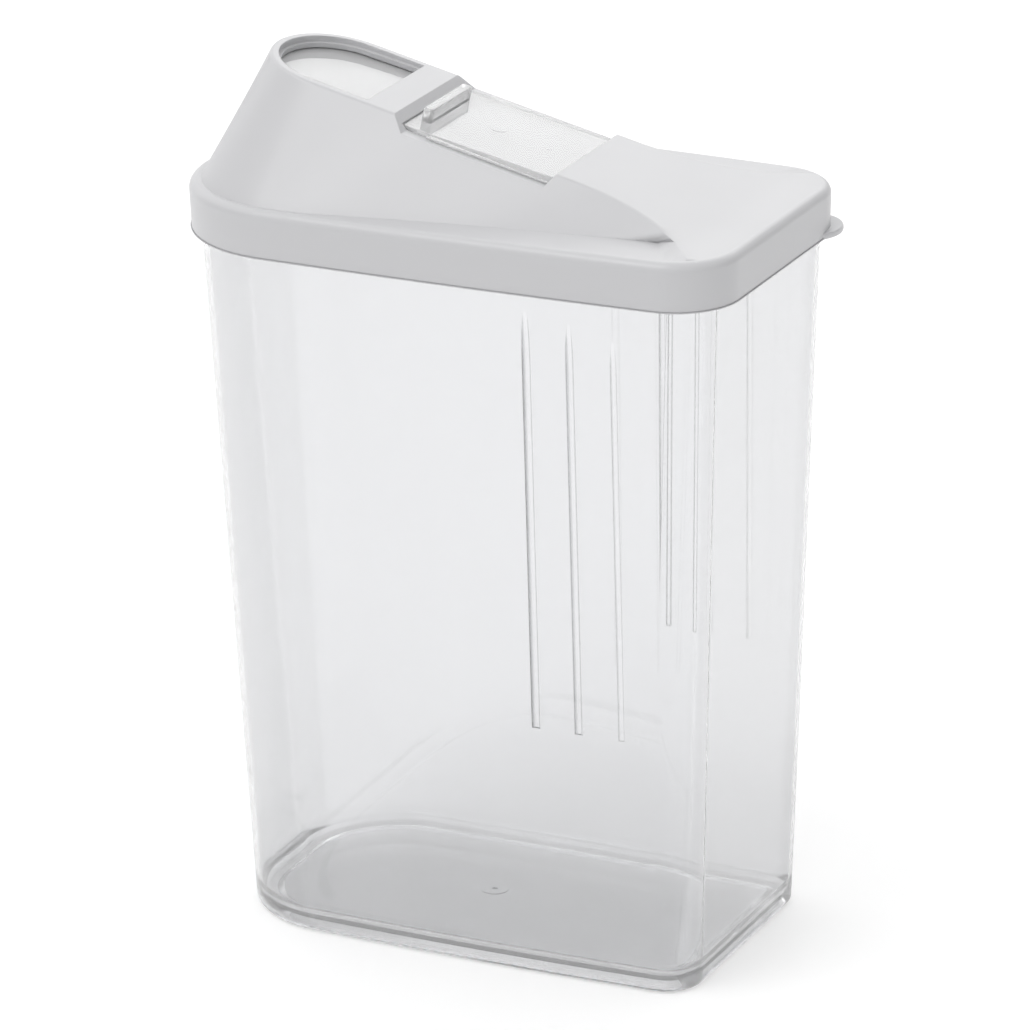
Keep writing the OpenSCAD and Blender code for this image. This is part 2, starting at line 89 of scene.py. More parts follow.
@dataclass(frozen=True)
class Sizes:
    """Sizes shared by the pieces, the same as in the CAD source."""

    mouth_a: float = 92.9
    mouth_b: float = 49.4
    mouth_bow: float = 1.9
    mouth_front_r: float = 38.0
    mouth_back_r: float = 17.5
    body_h: float = 236.8
    flange_h: float = 3.0
    flange_end: float = 2.2
    flange_side: float = 1.0
    wall_t: float = 1.8
    draft_len: float = 19.0
    draft_wid: float = 8.4
    wall_front_r: float = 33.5
    wall_back_r: float = 11.8
    floor_t: float = 2.4
    foot_h: float = 2.2
    foot_w: float = 4.0
    foot_r: float = 2.6
    floor_r: float = 5.0
    groove_pitch: float = 14.2
    groove_x: float = 47.0
    groove_w: float = 2.6
    groove_d: float = 0.8
    groove_low: float = 83.0
    groove_top: float = 21.0
    groove_fade: float = 16.0
    skin: float = 2.1
    skirt_t: float = 1.8
    hem_r: float = 0.4
    skirt_h: float = 15.4
    deck_t: float = 1.9
    deck_r: float = 3.0
    seat_gap: float = 0.2
    plug_h: float = 8.0
    plug_t: float = 1.5
    plug_fit: float = 0.7
    tab_r: float = 12.0
    tab_out: float = 3.6
    tab_t: float = 2.0
    tab_turn: float = 28.0
    tilt: float = math.radians(13.2)
    top_rise: float = 20.2
    spout_r: float = 21.8
    spout_back: float = 21.2
    rim_w: float = 2.6
    mouth_open: float = 38.6
    bridge_len: float = 10.5
    bay_len: float = 55.4
    ledge: float = 3.9
    bridge_slope: float = 5.0
    hood_slope: float = 1.8
    flank_t: float = 2.4
    hood_t: float = 1.35
    flare_start: float = 37.0
    flare_r: float = 60.0
    foot_start: float = -43.0
    foot_end: float = 72.0
    foot_mid: float = 41.5
    foot_late: float = 37.0
    tip_x: float = 68.5
    tip_fade: float = 5.5
    tip_spread: float = 9.0
    tip_round: float = 6.0
    top_round: float = 1.0
    bead_w: float = 1.1
    bead_h: float = 1.9
    seat_w: float = 3.4
    seat_t: float = 1.6
    throat_deep: float = 4.6
    slide_fit: float = 0.3
    rest_gap: float = 0.15
    way_spare: float = 1.2
    travel: float = 42.0
    plate_deep: float = 2.36
    wedge: float = math.radians(1.2)
    plate_t: float = 1.7
    plate_in: float = 0.8
    tail_len: float = 4.0
    runner_w: float = 1.6
    flange_out: float = 1.9
    flange_t: float = 0.8
    ridge_w: float = 27.6
    ridge_t: float = 3.6
    ridge_up: float = 1.7
    ridge_gap: float = 2.0
    ridge_r: float = 1.1
    gate_x: float = -5.1
    gate_y: float = -0.9
    gate_r: float = 4.4
    dimple_r: float = 0.5
    mark_rise: float = 0.1

    @property
    def lid_a(self) -> float:
        """Half length of the lid."""
        return self.mouth_a + self.skin

    @property
    def lid_b(self) -> float:
        """Half width of the lid, without the bow."""
        return self.mouth_b + self.skin

    @property
    def roof_z(self) -> float:
        """Height of the deck's underside."""
        return self.body_h + self.seat_gap

    @property
    def deck_z(self) -> float:
        """Height of the deck."""
        return self.roof_z + self.deck_t

    @property
    def skirt_z(self) -> float:
        """Height of the skirt's lower edge."""
        return self.deck_z - self.skirt_h

    @property
    def top_z(self) -> float:
        """Height of the sloping top at the middle of the lid."""
        return self.deck_z + self.top_rise

    @property
    def tip_u(self) -> float:
        """Place of the spout's tip along the slope."""
        return (-self.lid_a + self.spout_back) / math.cos(self.tilt)

    @property
    def spout_u(self) -> float:
        """Middle of the spout's round end."""
        return self.tip_u + self.spout_r

    @property
    def open_u(self) -> float:
        """End of the spout opening, where the bridge starts."""
        return self.tip_u + self.rim_w + self.mouth_open

    @property
    def bridge_u(self) -> float:
        """Rear edge of the bridge's top."""
        return self.open_u + self.bridge_len

    @property
    def hood_u(self) -> float:
        """Front edge of the hood's top."""
        return self.bridge_u + self.bay_len

    @property
    def plate_r(self) -> float:
        """Half width of the shutter's plate."""
        return self.spout_r - self.plate_in

    @property
    def plate_tip_u(self) -> float:
        """Front tip of the shutter's plate."""
        return self.spout_u - self.plate_r

    @property
    def tail_u(self) -> float:
        """Rear end of the shutter's plate."""
        return self.hood_u + self.tail_len

    @property
    def channel_r(self) -> float:
        """Half width of the shutter's channel."""
        return self.plate_r + self.slide_fit

    @property
    def seat_r(self) -> float:
        """Half width of the opening between the seats."""
        return self.channel_r - self.seat_w

    @property
    def seat_deep(self) -> float:
        """Depth of the seat that the runners slide on."""
        return self.plate_t - self.plate_top(self.plate_tip_u) + self.slide_fit + 0.1

    @property
    def seat_under(self) -> float:
        """Depth of the seat's underside."""
        return self.seat_deep + self.seat_t

    @property
    def way_end_u(self) -> float:
        """End of the shutter's way under the hood."""
        return self.tail_u + self.travel + self.way_spare

    def plate_top(self, u: float) -> float:
        """Level of the plate's top face off the slope at u."""
        return -self.plate_deep + u * math.tan(self.wedge)


S = Sizes()
CORNER = 26
SIDE = 18
ROUND = 6
WALL_STOPS = (60, 120, 180)


def arc(centre: Point2, radius: float, start: float, end: float, steps: int) -> list[Point2]:
    """Points of an arc.

    Args:
        centre: its middle.
        radius: its radius.
        start: first angle in degrees.
        end: last angle in degrees.
        steps: number of segments.

    Returns:
        steps + 1 points.
    """
    turns = [math.radians(start + (end - start) * i / steps) for i in range(steps + 1)]
    return [(centre[0] + radius * math.cos(t), centre[1] + radius * math.sin(t)) for t in turns]


def bowed(point: Point2, a: float, b: float) -> Point2:
    """Moves a point of a plan outwards with the bow of the long sides.

    Args:
        point: the point.
        a: half length of the plan.
        b: half width of the plan.

    Returns:
        The moved point.
    """
    return point[0], point[1] * (1 + S.mouth_bow / b * (1 - (point[0] / a) ** 2))


def plan(a: float, b: float, front_r: float, back_r: float) -> list[Point2]:
    """Rounded plan with bowed long sides, anticlockwise from the grip end.

    Args:
        a: half length.
        b: half width at the corners.
        front_r: corner radius at the spout end.
        back_r: corner radius at the grip end.

    Returns:
        Its points.
    """
    reach = 2 * a - back_r - front_r
    half = arc((a - back_r, b - back_r), back_r, 0, 90, CORNER)
    half += [(a - back_r - reach * i / (SIDE + 1), b) for i in range(1, SIDE + 1)]
    half += arc((front_r - a, b - front_r), front_r, 90, 180, CORNER)
    half = [bowed(p, a, b) for p in half]
    return half + [(x, -y) for x, y in reversed(half)]


def lid_plan(inset: float) -> list[Point2]:
    """Plan of the lid's outside, inset evenly.

    Args:
        inset: distance in from the skirt's face.

    Returns:
        Its points.
    """
    grow = S.skin - inset
    return plan(S.lid_a - inset, S.lid_b - inset, S.mouth_front_r + grow, S.mouth_back_r + grow)


def wall_plan(z: float, inset: float) -> list[Point2]:
    """Plan of the container's wall.

    Args:
        z: height.
        inset: distance in from the outer face.

    Returns:
        Its points.
    """
    fall = (1 - z / S.body_h) / 2
    a = S.mouth_a - S.flange_end - S.draft_len * fall - inset
    b = S.mouth_b - S.flange_side - S.draft_wid * fall - inset
    return plan(a, b, max(S.wall_front_r - inset, 2), max(S.wall_back_r - inset, 2))


def at_z(points: Sequence[Point2], z: float) -> Ring:
    """Lifts a plan to a height.

    Args:
        points: the plan.
        z: the height.

    Returns:
        A level ring.
    """
    return [(x, y, z) for x, y in points]


def round_steps(steps: int = ROUND) -> list[Point2]:
    """Quarter-round steps as shares of a radius, across and up.

    Args:
        steps: number of segments.

    Returns:
        Pairs that start on the side and end on the flat.
    """
    turns = [math.pi / 2 * i / steps for i in range(steps + 1)]
    return [(1 - math.sin(t), 1 - math.cos(t)) for t in turns]


def on_slope(u: float, y: float, w: float) -> Point3:
    """Point of the sloping frame in the part's own frame.

    Args:
        u: place down the slope.
        y: place across.
        w: height off the slope.

    Returns:
        The point.
    """
    cos, sin = math.cos(S.tilt), math.sin(S.tilt)
    return u * cos + w * sin, y, S.top_z - u * sin + w * cos


def depth_of(point: Point3) -> float:
    """Level of a point off the sloping top.

    Args:
        point: the point.

    Returns:
        Its w, below zero under the top.
    """
    return point[0] * math.sin(S.tilt) + (point[2] - S.top_z) * math.cos(S.tilt)


class Solid:
    """A closed mesh under construction."""

    def __init__(self, name: str, verts: list[Point3], faces: list[Sequence[int]]) -> None:
        mesh = bpy.data.meshes.new(name)
        mesh.from_pydata([Vector(v) * MM for v in verts], [], faces)
        mesh.validate()
        self.obj = bpy.data.objects.new(name, mesh)
        bpy.context.scene.collection.objects.link(self.obj)

    @classmethod
    def skin(cls, name: str, rings: Sequence[Ring]) -> "Solid":
        """Skins closed rings of equal count, each anticlockwise from above.

        Args:
            name: object name.
            rings: the rings, from the lower cap to the upper cap.

        Returns:
            The solid.
        """
        n = len(rings[0])
        faces: list[Sequence[int]] = [tuple(reversed(range(n)))]
        for k in range(len(rings) - 1):
            low, high = k * n, (k + 1) * n
            for i in range(n):
                j = (i + 1) % n
                faces.append((low + i, low + j, high + j, high + i))
        last = (len(rings) - 1) * n
        faces.append(tuple(range(last, last + n)))
        return cls(name, [p for ring in rings for p in ring], faces)

    @classmethod
    def prism(cls, name: str, outline: Sequence[Point2], place: Callable[..., Point3],
              low: float, high: float) -> "Solid":
        """Straight prism between two levels.

        Args:
            name: object name.
            outline: anticlockwise outline.
            place: turns (first, second, level) into a point.
            low: first level.
            high: second level.

        Returns:
            The solid.
        """
        return cls.skin(name, [[place(p[0], p[1], level) for p in outline] for level in (low, high)])

    def bake(self) -> "Solid":
        """Turns the modifiers into mesh.

        Returns:
            This solid.
        """
        graph = bpy.context.evaluated_depsgraph_get()
        mesh = bpy.data.meshes.new_from_object(self.obj.evaluated_get(graph))
        self.obj.modifiers.clear()
        self.obj.data = mesh
        return self

    def combine(self, operation: str, others: Sequence["Solid"]) -> "Solid":
        """Joins, cuts or crosses this solid with others, which are used up.

        Args:
            operation: UNION, DIFFERENCE or INTERSECT.
            others: the other solids.

        Returns:
            This solid.
        """
        for other in others:
            step = self.obj.modifiers.new(other.obj.name, "BOOLEAN")
            step.operation = operation
            step.solver = "MANIFOLD"
            step.material_mode = "TRANSFER" if other.obj.data.materials else "INDEX"
            step.object = other.obj
            self.bake()
            other.remove()
        return self

    def remove(self) -> None:
        """Deletes the solid."""
        bpy.data.objects.remove(self.obj)

    def soften(self, width: float, segments: int = 2, angle: float = 35) -> "Solid":
        """Rounds the sharp edges.

        Args:
            width: size of the round in millimetres.
            segments: steps in the round.
            angle: smallest edge angle in degrees that is rounded.

        Returns:
            This solid.
        """
        step = self.obj.modifiers.new("soften", "BEVEL")
        step.width = width * MM
        step.segments = segments
        step.limit_method = "ANGLE"
        step.angle_limit = math.radians(angle)
        step.use_clamp_overlap = True
        return self.bake()

    def slice_at(self, x: float) -> None:
        """Adds an edge line across the mesh, which changes no surface.

        Args:
            x: place of the line in millimetres.
        """
        mesh = bmesh.new()
        mesh.from_mesh(self.obj.data)
        geometry = [*mesh.verts, *mesh.edges, *mesh.faces]
        bmesh.ops.bisect_plane(mesh, geom=geometry, plane_co=(x * MM, 0, 0), plane_no=(1, 0, 0))
        mesh.to_mesh(self.obj.data)
        mesh.free()

    def finish(self, material: bpy.types.Material, body: Body, slot: Slot,
               replaces: Sequence[str] = (), angle: float = 32) -> bpy.types.Object:
        """Shades the piece, gives it its material and lets it ride on its body.

        Args:
            material: its finish, if its faces have none yet.
            body: the CAD body it moves with.
            slot: the record's slot; not used.
            replaces: CAD nodes it stands for.
            angle: edges sharper than this in degrees stay sharp.

        Returns:
            The object.
        """
        mesh = self.obj.data
        mesh.shade_smooth()
        mesh.set_sharp_from_angle(angle=math.radians(angle))
        weigh = self.obj.modifiers.new("weigh", "WEIGHTED_NORMAL")
        weigh.keep_sharp = True
        weigh.weight = 80
        self.bake()
        if not any(self.obj.data.materials):
            self.obj.data.materials.clear()
            self.obj.data.materials.append(material)
        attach(self.obj, body.value)
        if replaces:
            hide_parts(*replaces)
        LOG.info("%s: %d faces on %s", self.obj.name, len(self.obj.data.polygons), body.value)
        return self.obj


def set_inputs(node: bpy.types.Node, values: dict[str | int, object]) -> None:
    """Sets or links inputs of a node.

    Args:
        node: the node.
        values: for each input, by name or place, its value or the output that it is linked to.
    """
    for socket, value in values.items():
        if isinstance(value, bpy.types.NodeSocket):
            node.id_data.links.new(value, node.inputs[socket])
        else:
            node.inputs[socket].default_value = value


def add_node(tree: bpy.types.NodeTree, kind: str, values: dict[str | int, object] | None = None,
             output: str | int = 0, **settings: object) -> bpy.types.NodeSocket:
    """Adds a node.

    Args:
        tree: the tree it joins.
        kind: its type.
        values: as for set_inputs.
        output: the output that is wanted, by name or place.
        settings: its other settings.

    Returns:
        The output.
    """
    node = tree.nodes.new(kind)
    for name, value in settings.items():
        setattr(node, name, value)
    set_inputs(node, values or {})
    return node.outputs[output]


@dataclass(frozen=True)
class Finish:
    """Values of one plastic finish.

    Attributes:
        name: the material's name.
        colour: its base colour.
        roughness: its roughness where it is least worn.
        transmission: share of the light that it lets through.
        wear: roughness that handling adds in patches.
        ripple: strength of the faint flow ripples.
        alpha: its cover.
        ior: its index of refraction.
        glow: share of the light that scatters under its surface.
        round: radius in millimetres by which sharp edges are shaded as round.
    """

    name: str
    colour: Point3
    roughness: float
    transmission: float = 0.98
    wear: float = 0.03
    ripple: float = 0.06
    alpha: float = 0.9
    ior: float = 1.49
    glow: float = 0
    round: float = 0

    def build(self, surface: bpy.types.NodeTree) -> bpy.types.Material:
        """Makes the material.

        Args:
            surface: the shared group of the moulded surface.

        Returns:
            The material.
        """
        material = bpy.data.materials.new(self.name)
        material.use_nodes = True
        tree = material.node_tree
        if self.round:
            facing = add_node(tree, "ShaderNodeBevel", {"Radius": self.round * MM}, samples=6)
        else:
            facing = add_node(tree, "ShaderNodeNewGeometry", output="Normal")
        group = tree.nodes.new("ShaderNodeGroup")
        group.node_tree = surface
        set_inputs(group, {
            "Place": add_node(tree, "ShaderNodeTexCoord", output="Object"), "Facing": facing,
            "Roughness": self.roughness, "Wear": self.wear, "Ripple": self.ripple})
        set_inputs(tree.nodes["Principled BSDF"], {
            "Base Color": (*self.colour, 1), "IOR": self.ior, "Transmission Weight": self.transmission,
            "Alpha": self.alpha, "Subsurface Weight": self.glow, "Subsurface Radius": (1, 1, 1),
            "Subsurface Scale": 3 * MM, "Roughness": group.outputs["Roughness"],
            "Normal": group.outputs["Normal"]})
        return material


def moulded_surface() -> bpy.types.NodeTree:
    """Shader group for moulded plastic: handling wear in the gloss and faint flow ripples.

    Returns:
        The group.
    """
    tree = bpy.data.node_groups.new("MouldedSurface", "ShaderNodeTree")
    face = tree.interface
    face.new_socket("Place", in_out="INPUT", socket_type="NodeSocketVector")
    face.new_socket("Facing", in_out="INPUT", socket_type="NodeSocketVector")
    for name in ("Roughness", "Wear", "Ripple"):
        face.new_socket(name, in_out="INPUT", socket_type="NodeSocketFloat")
    face.new_socket("Roughness", in_out="OUTPUT", socket_type="NodeSocketFloat")
    face.new_socket("Normal", in_out="OUTPUT", socket_type="NodeSocketVector")
    given = tree.nodes.new("NodeGroupInput").outputs
    wear = add_node(tree, "ShaderNodeTexNoise", {"Vector": given["Place"], "Scale": 24, "Detail": 2})
    ripple = add_node(tree, "ShaderNodeTexNoise", {"Vector": given["Place"], "Scale": 26, "Detail": 1})
    spread = add_node(tree, "ShaderNodeMapRange", {"Value": wear, "From Min": 0.3, "From Max": 0.8},
                      interpolation_type="SMOOTHSTEP")
    rough = add_node(tree, "ShaderNodeMath", {0: spread, 1: given["Wear"], 2: given["Roughness"]},
                     operation="MULTIPLY_ADD")
    normal = add_node(tree, "ShaderNodeBump", {
        "Distance": MM, "Height": ripple, "Normal": given["Facing"], "Strength": given["Ripple"]})
    set_inputs(tree.nodes.new("NodeGroupOutput"), {"Roughness": rough, "Normal": normal})
    return tree


CLEAR = Finish("clear_plastic", (0.84, 0.843, 0.852), roughness=0.02)
# The grooves' dark base colour is painted shade: it stands for the dark lines that bent light draws at
# the groove edges.
GROOVE_PAINTED_SHADE = Finish("groove_painted_shade_plastic", (0.26, 0.26, 0.27), roughness=0.12)
CLEAR_THIN = Finish("clear_shutter_plastic", (0.98, 0.982, 0.985), roughness=0.03,
                    transmission=0.72, ripple=0.05, alpha=0.95)
GREY = Finish("grey_satin_plastic", (0.52, 0.52, 0.532), roughness=0.3, transmission=0.0,
              wear=0.05, ripple=0.02, alpha=1, ior=1.5, glow=0.15, round=0.5)
# Pale colour painted along each groove's middle as a painted highlight.
GROOVE_PAINTED_HIGHLIGHT = (0.92, 0.92, 0.93)


def paint_groove_light(material: bpy.types.Material) -> bpy.types.Material:
    """Paints shade on the grooves' edges, where clear plastic bends light away, and a painted highlight
    along their pale middles.

    Args:
        material: the grip grooves' clear material, whose dark base colour is the painted shade.

    Returns:
        The same material.
    """
    tree = material.node_tree
    shader = tree.nodes["Principled BSDF"]
    place = add_node(tree, "ShaderNodeTexCoord", output="Object")
    along = add_node(tree, "ShaderNodeSeparateXYZ", {"Vector": place})
    shift = add_node(tree, "ShaderNodeMath", {0: along, 1: S.groove_x * MM}, operation="SUBTRACT")
    fold = add_node(tree, "ShaderNodeMath", {0: shift, 1: S.groove_pitch / 2 * MM}, operation="PINGPONG")
    edge = add_node(tree, "ShaderNodeMapRange", {
        "Value": fold, "From Min": 0.2 * S.groove_w * MM, "From Max": 0.44 * S.groove_w * MM})
    # Painted highlight in each groove's middle, running out into the painted shade at its edges.
    tint = add_node(tree, "ShaderNodeMix", {
        "Factor": edge, "A": (*GROOVE_PAINTED_HIGHLIGHT, 1), "B": tuple(shader.inputs["Base Color"].default_value)},
        output="Result", data_type="RGBA")
    set_inputs(shader, {"Base Color": tint})
    return material


@dataclass
class Container:
    """The clear container: one moulding with foot, flange and grip grooves.

    Attributes:
        material: its finish.
        grip: the material of the grooves, whose dark colour is painted shade at their edges and whose
            pale middles are a painted highlight.
    """

    material: bpy.types.Material
    grip: bpy.types.Material

    def shell(self) -> Solid:
        """Builds the wall, floor, foot and flange as one skin.

        Returns:
            The solid.
        """
        floor_z = S.foot_h + S.floor_t
        top = S.body_h - S.flange_h
        chamfer, easing = 0.5, 0.4

        def collar(inset: float, z: float) -> Ring:
            return at_z(plan(S.mouth_a - inset, S.mouth_b - inset, S.mouth_front_r - inset,
                             S.mouth_back_r - inset), z)

        under = S.foot_r + S.foot_w
        rings = [at_z(wall_plan(0, under + S.foot_h), S.foot_h)]
        rings += [at_z(wall_plan(0, under + easing), 0.3), at_z(wall_plan(0, under), 0)]
        rings += [at_z(wall_plan(0, S.foot_r * s), S.foot_r * t) for s, t in round_steps()]
        rings += [at_z(wall_plan(z, 0), z) for z in (*WALL_STOPS, top)]
        rings += [collar(0, top), collar(0, S.body_h - chamfer), collar(chamfer, S.body_h)]
        rings += [at_z(wall_plan(S.body_h, S.wall_t + 0.3), S.body_h)]
        rings += [at_z(wall_plan(S.body_h - easing, S.wall_t), S.body_h - easing)]
        rings += [at_z(wall_plan(z, S.wall_t), z) for z in reversed(WALL_STOPS)]
        for s, t in reversed(round_steps()):
            z = floor_z + S.floor_r * t
            rings.append(at_z(wall_plan(z, S.wall_t + S.floor_r * s), z))
        return Solid.skin("clear_container", rings)

    def groove_cutter(self) -> Solid:
        """Builds one groove's cutter: a long bar that leans with the wall and runs out at its top.

        Returns:
            The cutter, at x = 0 on the +Y side.
        """
        cut_r = ((S.groove_w / 2) ** 2 + S.groove_d ** 2) / (2 * S.groove_d)
        fade_z = S.body_h - S.groove_top - S.groove_fade
        fall = (1 - S.groove_low / S.body_h) / 2
        a = S.mouth_a - S.flange_end - S.draft_len * fall
        b = S.mouth_b - S.flange_side - S.draft_wid * fall
        side_y = bowed((S.groove_x, b), a, b)[1]
        lean = S.draft_wid / 2 / S.body_h

        def ring(z: float, rise: float) -> Ring:
            y = side_y + (z - S.groove_low) * lean + cut_r - S.groove_d + rise
            return [(x, y + dy, z) for x, dy in arc((0, 0), cut_r, 0, 345, 23)]

        rise, past_end = S.groove_d * 1.4, 1.3
        fade = [ring(fade_z + S.groove_fade * past_end * t, rise * past_end * t * t)
                for t in (0.25, 0.5, 0.75, 1)]
        return Solid.skin("groove_cutter", [ring(S.groove_low, 0), ring(fade_z, 0), *fade])

    def groove_row(self) -> Solid:
        """Repeats the groove along the side with Geometry Nodes.

        Returns:
            Three cutters in one mesh, on the +Y side.
        """
        cutter = self.groove_cutter()
        tree = bpy.data.node_groups.new("GrooveRow", "GeometryNodeTree")
        tree.interface.new_socket("Geometry", in_out="OUTPUT", socket_type="NodeSocketGeometry")
        tree.interface.new_socket("Geometry", in_out="INPUT", socket_type="NodeSocketGeometry")
        line = add_node(tree, "GeometryNodeMeshLine", {
            "Count": 3, "Start Location": ((S.groove_x - S.groove_pitch) * MM, 0, 0),
            "Offset": (S.groove_pitch * MM, 0, 0)})
        copies = add_node(tree, "GeometryNodeInstanceOnPoints", {
            "Points": line, "Instance": add_node(tree, "NodeGroupInput")})
        real = add_node(tree, "GeometryNodeRealizeInstances", {"Geometry": copies})
        # The groove faces get the material with the painted shade at their edges.
        paint = add_node(tree, "GeometryNodeSetMaterial", {"Geometry": real, "Material": self.grip})
        set_inputs(tree.nodes.new("NodeGroupOutput"), {"Geometry": paint})
        row = cutter.obj.modifiers.new("row", "NODES")
        row.node_group = tree
        return cutter.bake()

    def round_mark(self, name: str, sides: int, steps: Sequence[Point2]) -> Solid:
        """Builds a round body at the gate, where the plastic came into the mould.

        Args:
            name: object name.
            sides: number of its sides.
            steps: radius of each ring and its rise off the floor.

        Returns:
            The solid.
        """
        floor_z, last = S.foot_h + S.floor_t, 360 - 360 / sides
        return Solid.skin(name, [
            at_z(arc((S.gate_x, S.gate_y), r, 0, last, sides - 1), floor_z + rise) for r, rise in steps])

    def build(self) -> None:
        """Builds the container with its grooves and the gate mark on its floor."""
        shell = self.shell()
        shell.obj.data.materials.append(self.material)
        near, far = self.groove_row(), self.groove_row()
        near.obj.data.transform(Matrix.Scale(-1, 4, (0, 1, 0)))
        near.obj.data.flip_normals()
        shell.combine("DIFFERENCE", [near, far])
        gate = self.round_mark("gate", 48, ((S.gate_r, -0.3), (S.gate_r, 0.15), (S.gate_r - 0.2, 0.25)))
        dimple = self.round_mark("dimple", 24, ((S.dimple_r, -0.3), (S.dimple_r + 0.7, 0.5)))
        shell.combine("UNION", [gate]).combine("DIFFERENCE", [dimple])
        shell.finish(self.material, Body.CONTAINER, Slot.CLEAR_BODY, ["container"], angle=28)


@dataclass
class Lid:
    """The grey lid: one moulding of skirt, deck, sloping hump, spout, bridge and hood.

    Attributes:
        material: its finish.
        foot_in: how far in from the skirt's face the hump may stand.
        front_n: stations round one half of the hump's front.
        flank_n: stations along one of its flanks.
        crease_x: where the slope starts to ease into the deck.
    """

    material: bpy.types.Material
    foot_in: float = S.deck_r + 0.3
    front_n: int = 48
    flank_n: int = 90
    crease_x: float = 76.0

    def top_half(self, x: float) -> float:
        """Half width of the sloping top, which flares to the grip end.

        Args:
            x: place along the lid.

        Returns:
            The half width.
        """
        past = max(x - S.flare_start, 0)
        return S.spout_r + S.flare_r - math.sqrt(S.flare_r ** 2 - past ** 2)

    def deck_half(self, x: float) -> float:
        """Half width of the deck's flat.

        Args:
            x: place along the lid.

        Returns:
            The half width.
        """
        a, b = S.lid_a - self.foot_in, S.lid_b - self.foot_in
        r = S.mouth_back_r + S.skin - self.foot_in
        past = max(x - (a - r), 0)
        return bowed((x, b - r + math.sqrt(max(r * r - past * past, 0))), a, b)[1]

    def foot_half(self, x: float) -> float:
        """Half width of the hump's foot, which leaves the deck's edge and narrows.

        Args:
            x: place along the lid.

        Returns:
            The half width.
        """
        start, end = S.foot_start, S.foot_end
        if x < start:
            return self.deck_half(x)
        s = min((x - start) / (end - start), 1)
        narrow = (self.deck_half(start) * (1 - s) ** 3 + 3 * S.foot_mid * s * (1 - s) ** 2
                  + 3 * S.foot_late * s * s * (1 - s) + self.top_half(end) * s ** 3)
        return max(narrow, self.top_half(x) + 0.5) + S.tip_spread * self.past_tip(x)

    @staticmethod
    def past_tip(x: float) -> float:
        """Share by which the flank has run out into the deck.

        Args:
            x: place along the lid.

        Returns:
            Zero in front of the flank's tip, rising softly to one behind it.
        """
        t = min(max((x - S.tip_x) / S.tip_fade, 0), 1)
        return t * t * (3 - 2 * t)

    def stations(self) -> list[tuple[Point3, Point3, Point2]]:
        """Stations round one half of the hump.

        Returns:
            Top point, foot point and outward direction of each.
        """
        found = []
        a, b = S.lid_a - self.foot_in, S.lid_b - self.foot_in
        r = S.mouth_front_r + S.skin - self.foot_in
        flat, bulge = 0.2, 0.2
        for i in range(self.front_n + 1):
            t = i / self.front_n
            turn = math.radians(180 - 90 * t)
            out = (math.cos(turn), math.sin(turn))
            top = on_slope(S.spout_u + S.spout_r * out[0], S.spout_r * out[1], 0)
            if t < flat:
                foot = (-a - bulge * (1 - (t / flat) ** 2), (b - r) * t / flat)
            else:
                foot = arc((r - a, b - r), r, 180 - 90 * (t - flat) / (1 - flat), 0, 1)[0]
            found.append((top, (*bowed(foot, a, b), S.deck_z), out))
        round_x = S.mouth_front_r + S.skin - S.lid_a
        end_u = (S.top_rise - 0.05) / math.sin(S.tilt)
        for i in range(1, self.flank_n + 1):
            s = i / self.flank_n
            u = S.spout_u + (end_u - S.spout_u) * s
            x = u * math.cos(S.tilt)
            foot_x = round_x * (1 - s) + (x + 0.8) * s
            edge = self.deck_half(foot_x)
            top = on_slope(u, min(self.top_half(x), edge - 0.4), 0)
            foot = (foot_x, min(self.foot_half(foot_x), edge - 0.2), S.deck_z)
            found.append((top, foot, (0.0, 1.0)))
        tops = self.eased([top for top, _, _ in found], 26)
        feet = self.eased([foot for _, foot, _ in found], 40)
        return [(top, foot, out) for top, foot, (_, _, out) in zip(tops, feet, found)]

    def eased(self, points: Sequence[Point3], passes: int) -> list[Point3]:
        """Evens out how fast a line turns, so that the round front runs softly into the flank.

        Args:
            points: the line, which starts on the long axis and is mirrored there.
            passes: number of smoothing passes.

        Returns:
            The line, eased over the front and the first half of the flank.
        """
        line = [Vector(p) for p in points]
        count = self.front_n + self.flank_n // 2
        for _ in range(passes):
            old = [Vector((line[1].x, -line[1].y, line[1].z)), *line]
            line[:count] = [(old[i] + old[i + 1] * 2 + old[i + 2]) / 4 for i in range(count)]
        return [tuple(p) for p in line]

    @staticmethod
    def mirrored(half: Sequence[Point3]) -> Ring:
        """Closes a ring from the points of one half, which starts on the long axis.

        Args:
            half: the points on the +Y side, from the spout end.

        Returns:
            The whole ring, anticlockwise from above.
        """
        return [(x, -y, z) for x, y, z in half] + [p for p in reversed(half[1:])]

    def hump(self) -> Solid:
        """Builds the outside of the hump, with its top edge rounded.

        Returns:
            The solid.
        """
        stations = self.stations()
        rings = [self.mirrored([(f[0], f[1], S.deck_z - S.deck_t / 2) for _, f, _ in stations]),
                 self.mirrored([f for _, f, _ in stations])]
        for step in range(5):
            t = step / 4
            half = []
            for top, foot, out in stations:
                peak, low = Vector(top), Vector(foot)
                size = min(S.top_round, 0.25 * (peak - low).length)
                down = peak + (low - peak).normalized() * size
                aim = Vector((out[0] * math.cos(S.tilt), out[1], -out[0] * math.sin(S.tilt)))
                inward = peak - aim * (size + S.tip_round * self.past_tip(peak.x))
                point = down * (1 - t) ** 2 + peak * (2 * t * (1 - t)) + inward * t * t
                half.append((point.x, max(point.y, 0), point.z))
            rings.append(self.mirrored(half))
        return Solid.skin("hump", rings)

    def hollow(self) -> Solid:
        """Builds the hollow under the hump, which leaves the ledges and the channel standing.

        Returns:
            The cutter.
        """
        w = -S.hood_t - S.slide_fit
        used = [s for s in self.stations() if depth_of(s[1]) < w - 2.6]

        def inside(point: Point3, out: Point2) -> Point3:
            return point[0] - S.flank_t * out[0], max(point[1] - S.flank_t * out[1], 0), point[2]

